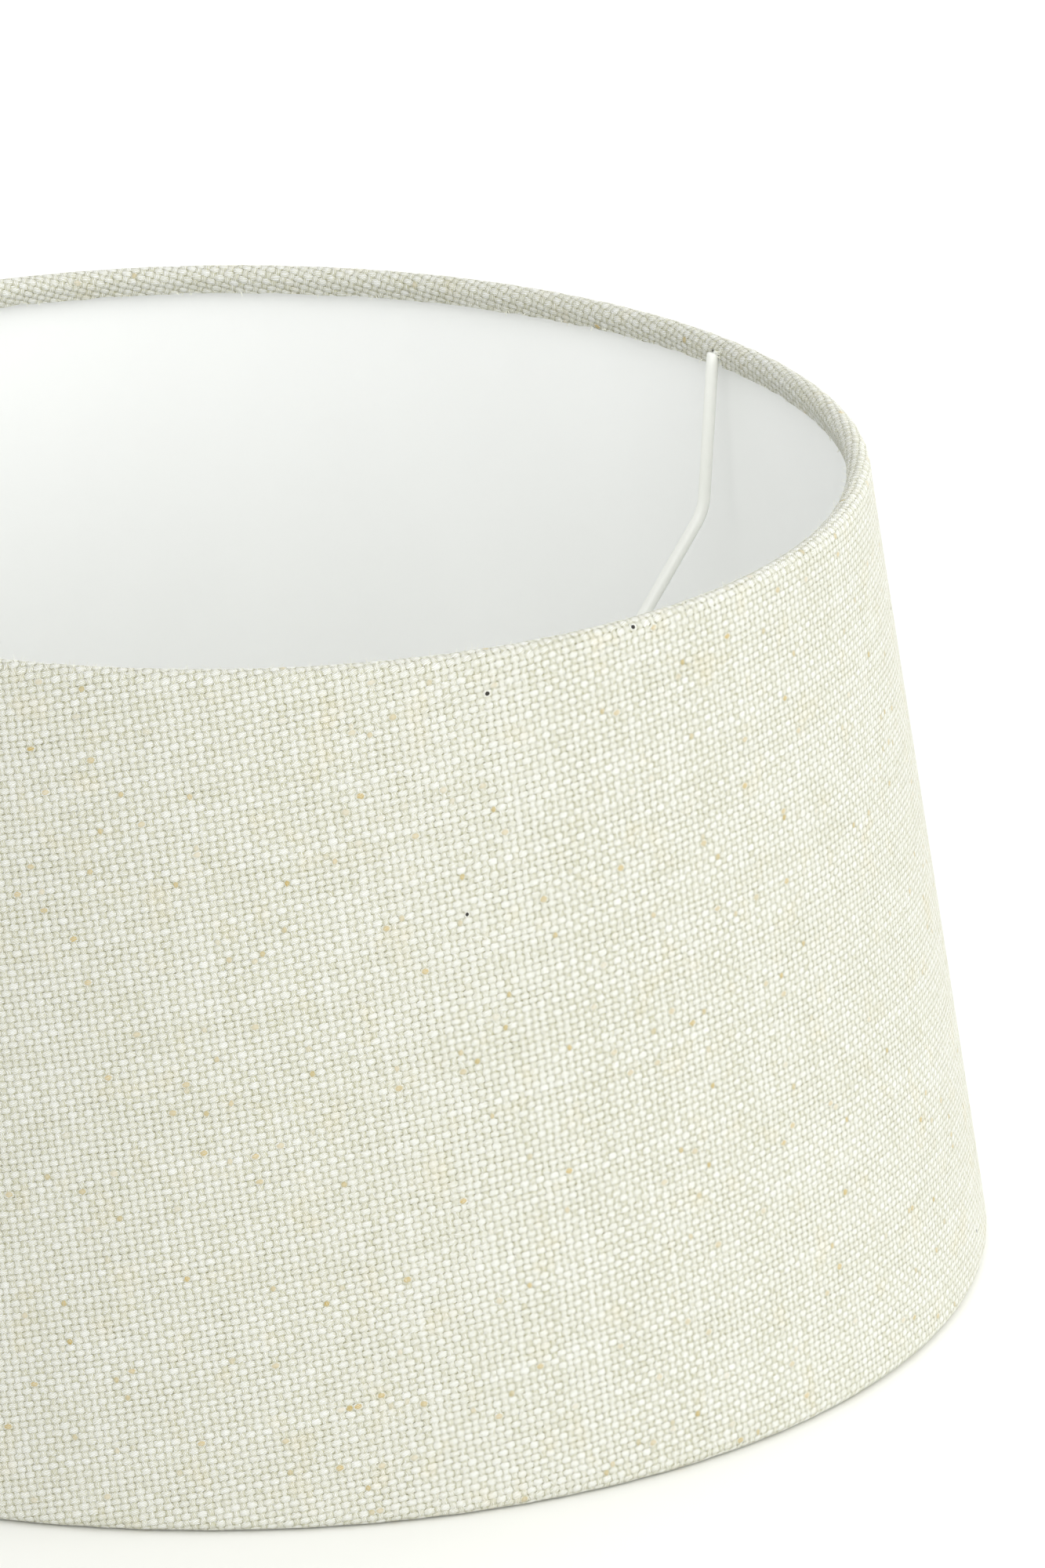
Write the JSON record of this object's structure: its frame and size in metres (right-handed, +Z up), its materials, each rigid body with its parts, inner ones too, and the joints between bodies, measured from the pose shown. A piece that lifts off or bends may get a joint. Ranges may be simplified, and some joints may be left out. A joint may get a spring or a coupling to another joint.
{
  "type": "lamp shade",
  "caption": "Tapered round lamp shade of linen over a white stiff liner, with rolled wire-ring edges and a recessed bent-wire spider carrying a flat fitter ring.",
  "frame": {"origin": "on the shade's axis, level with the surface that it stands on", "axes": "+Z up along the shade's axis, from the wide bottom rim to the narrow top rim; +X and +Y level, with the first spider arm 30 degrees from +X towards +Y"},
  "size_m": [0.2992, 0.2992, 0.16],
  "materials": {
    "linen": "matt plain-weave linen, pale sage grey with ochre flecks",
    "liner": "satin white stiff PVC sheet",
    "tape": "translucent double-sided tape",
    "ring_wire": "white powder-coated steel wire",
    "arm_wire": "white powder-coated steel wire, satin",
    "fitter_plate": "white powder-coated pressed steel, satin"
  },
  "bodies": {
    "root": {"fabric_cover": "linen", "pvc_liner": "liner", "seam_tape": "tape", "top_ring": "ring_wire", "bottom_ring": "ring_wire", "arm_1": "arm_wire", "arm_2": "arm_wire", "arm_3": "arm_wire", "fitter_ring": "fitter_plate"}
  },
  "joints": []
}
